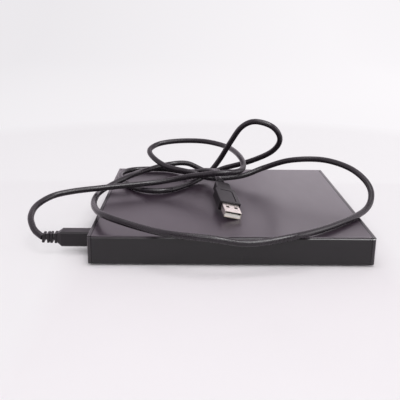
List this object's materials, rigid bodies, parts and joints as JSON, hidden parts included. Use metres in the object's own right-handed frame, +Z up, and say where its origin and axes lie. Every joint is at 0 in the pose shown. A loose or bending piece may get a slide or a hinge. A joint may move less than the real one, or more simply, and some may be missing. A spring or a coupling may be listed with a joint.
{
  "type": "external dvd drive",
  "caption": "Flat desktop disc drive box with a slide-out disc tray, eject button and its USB lead plugged in and coiled on top.",
  "frame": {"origin": "centre of the box's footprint, on the surface under its rubber feet", "axes": "+Z up; +X is the way the tray opens; the long side wall in the picture faces -Y and the USB lead leaves towards -X"},
  "size_m": [0.2438, 0.1955, 0.0762],
  "materials": {
    "case_dark": "fine matte charcoal moulding",
    "case_top": "fine matte charcoal moulding, the same as the walls",
    "feet_rubber": "soft matte rubber",
    "screw_steel": "blackened steel screws",
    "board_green": "solder resist",
    "board_blue": "solder resist",
    "chip_black": "moulded chip packages",
    "plug_metal": "plated steel shell",
    "contact_plastic": "pale insulator",
    "connector_black": "moulded connector",
    "bracket_steel": "zinc-plated sheet",
    "loader_steel": "zinc-plated sheet",
    "rail_steel": "bright steel rail",
    "ribbon_film": "amber film ribbon",
    "tray_black": "fine textured black moulding",
    "bezel_black": "satin black moulding",
    "plate_steel": "pressed steel",
    "damper_rubber": "soft damper rubber",
    "pad_rubber": "grippy ring",
    "rod_chrome": "ground rod",
    "motor_zinc": "drawn motor can",
    "coil_copper": "wound enamelled wire",
    "natural_plastic": "natural acetal",
    "spring_steel": "spring wire",
    "light_pipe": "clear green light pipe",
    "hub_aluminium": "turned aluminium",
    "sled_cast": "die-cast sled",
    "lens_glass": "coated lens",
    "plug_plastic": "soft moulded grip",
    "cord_jacket": "smooth satin cord jacket"
  },
  "bodies": {
    "case": {"base_shell": "case_dark", "top_cover": "case_top", "rear_panel": "case_dark", "front_panel": "case_dark", "rubber_feet": "feet_rubber", "case_screws": "screw_steel", "bridge_board": "board_green", "bridge_parts": "chip_black", "usb_socket_shell": "plug_metal", "usb_socket_core": "contact_plastic", "drive_connector": "connector_black", "mounting_brackets": "bracket_steel", "inner_screws": "screw_steel", "drive_pan": "loader_steel", "drive_lid": "loader_steel", "drive_board": "board_blue", "drive_board_parts": "chip_black", "guide_rail_left": "rail_steel", "guide_rail_right": "rail_steel", "latch_post": "rail_steel", "flex_ribbon": "ribbon_film"},
    "rail_left": {"slide_rail_left": "rail_steel"},
    "rail_right": {"slide_rail_right": "rail_steel"},
    "tray": {"tray": "tray_black", "drive_bezel": "bezel_black", "tray_plate": "plate_steel", "traverse_frame": "plate_steel", "traverse_dampers": "damper_rubber", "guide_rods": "rod_chrome", "feed_motor": "motor_zinc", "feed_bracket": "plate_steel", "spindle_base": "plate_steel", "tray_board": "board_green", "latch_solenoid": "coil_copper", "ejector_housing": "tray_black", "eject_spring": "spring_steel", "eject_switch": "connector_black", "light_pipe": "light_pipe"},
    "plunger": {"eject_plunger": "natural_plastic"},
    "spindle": {"spindle_hub": "hub_aluminium", "hub_pad": "pad_rubber"},
    "claw_a": {"clamp_claw_a": "natural_plastic"},
    "claw_b": {"clamp_claw_b": "natural_plastic"},
    "claw_c": {"clamp_claw_c": "natural_plastic"},
    "sled": {"sled": "sled_cast", "sled_cover": "plate_steel"},
    "lens": {"lens_holder": "connector_black", "lens": "lens_glass"},
    "lead_screw": {"lead_screw": "rod_chrome"},
    "latch": {"latch_hook": "natural_plastic"},
    "solenoid": {"solenoid_plunger": "rail_steel"},
    "button": {"eject_button": "bezel_black"},
    "usb_lead": {"plug_b_shell": "plug_metal", "plug_b_grip": "plug_plastic", "plug_b_relief": "plug_plastic", "usb_cord": "cord_jacket", "plug_a_relief": "plug_plastic", "plug_a_grip": "plug_plastic", "plug_a_shell": "plug_metal", "plug_a_core": "contact_plastic"}
  },
  "joints": [
    {"name": "tray_slide", "type": "slide", "parent": "case", "child": "tray", "axis": [1, 0, 0], "range_m": [0, 0.124]},
    {"name": "rail_left_slide", "type": "slide", "parent": "case", "child": "rail_left", "axis": [1, 0, 0], "range_m": [0, 0.062]},
    {"name": "rail_right_slide", "type": "slide", "parent": "case", "child": "rail_right", "axis": [1, 0, 0], "range_m": [0, 0.062]},
    {"name": "plunger_slide", "type": "slide", "parent": "tray", "child": "plunger", "axis": [-1, 0, 0], "range_m": [0, 0.008], "deforming": ["eject_spring"]},
    {"name": "spindle_spin", "type": "hinge", "parent": "tray", "child": "spindle", "pos_m": [0.0246, 0, 0.0097], "axis": [0, 0, 1], "continuous": true},
    {"name": "claw_a_slide", "type": "slide", "parent": "spindle", "child": "claw_a", "axis": [-1, 0, 0], "range_m": [0, 0.0006], "stiffness_N_per_m": 300},
    {"name": "claw_b_slide", "type": "slide", "parent": "spindle", "child": "claw_b", "axis": [0.5, -0.866, 0], "range_m": [0, 0.0006], "stiffness_N_per_m": 300},
    {"name": "claw_c_slide", "type": "slide", "parent": "spindle", "child": "claw_c", "axis": [0.5, 0.866, 0], "range_m": [0, 0.0006], "stiffness_N_per_m": 300},
    {"name": "sled_slide", "type": "slide", "parent": "tray", "child": "sled", "axis": [0.7071, -0.7071, 0], "range_m": [0, 0.034]},
    {"name": "screw_spin", "type": "hinge", "parent": "tray", "child": "lead_screw", "pos_m": [0.04892, -0.00396, 0.0082], "axis": [0.7071, -0.7071, 0], "range_deg": [0, 4100]},
    {"name": "lens_focus", "type": "slide", "parent": "sled", "child": "lens", "axis": [0, 0, 1], "range_m": [-0.0003, 0.0003], "stiffness_N_per_m": 50},
    {"name": "latch_turn", "type": "hinge", "parent": "tray", "child": "latch", "pos_m": [-0.02, 0.044, 0.0069], "axis": [0, 0, 1], "range_deg": [0, 12.2]},
    {"name": "solenoid_slide", "type": "slide", "parent": "tray", "child": "solenoid", "axis": [-1, 0, 0], "range_m": [0, 0.0015]},
    {"name": "button_press", "type": "slide", "parent": "tray", "child": "button", "axis": [-1, 0, 0], "range_m": [0, 0.0005], "stiffness_N_per_m": 300},
    {"name": "usb_plug_pull", "type": "slide", "parent": "case", "child": "usb_lead", "axis": [-1, 0, 0], "range_m": [0, 0.012]}
  ],
  "couplings": [
    {"joint": "rail_left_slide", "follows": "tray_slide", "ratio": 0.5},
    {"joint": "rail_right_slide", "follows": "tray_slide", "ratio": 0.5},
    {"joint": "plunger_slide", "follows": "tray_slide", "ratio": 0.0645},
    {"joint": "screw_spin", "follows": "sled_slide", "rad_per_m": 2094.4},
    {"joint": "latch_turn", "follows": "solenoid_slide", "rad_per_m": 139.6}
  ]
}
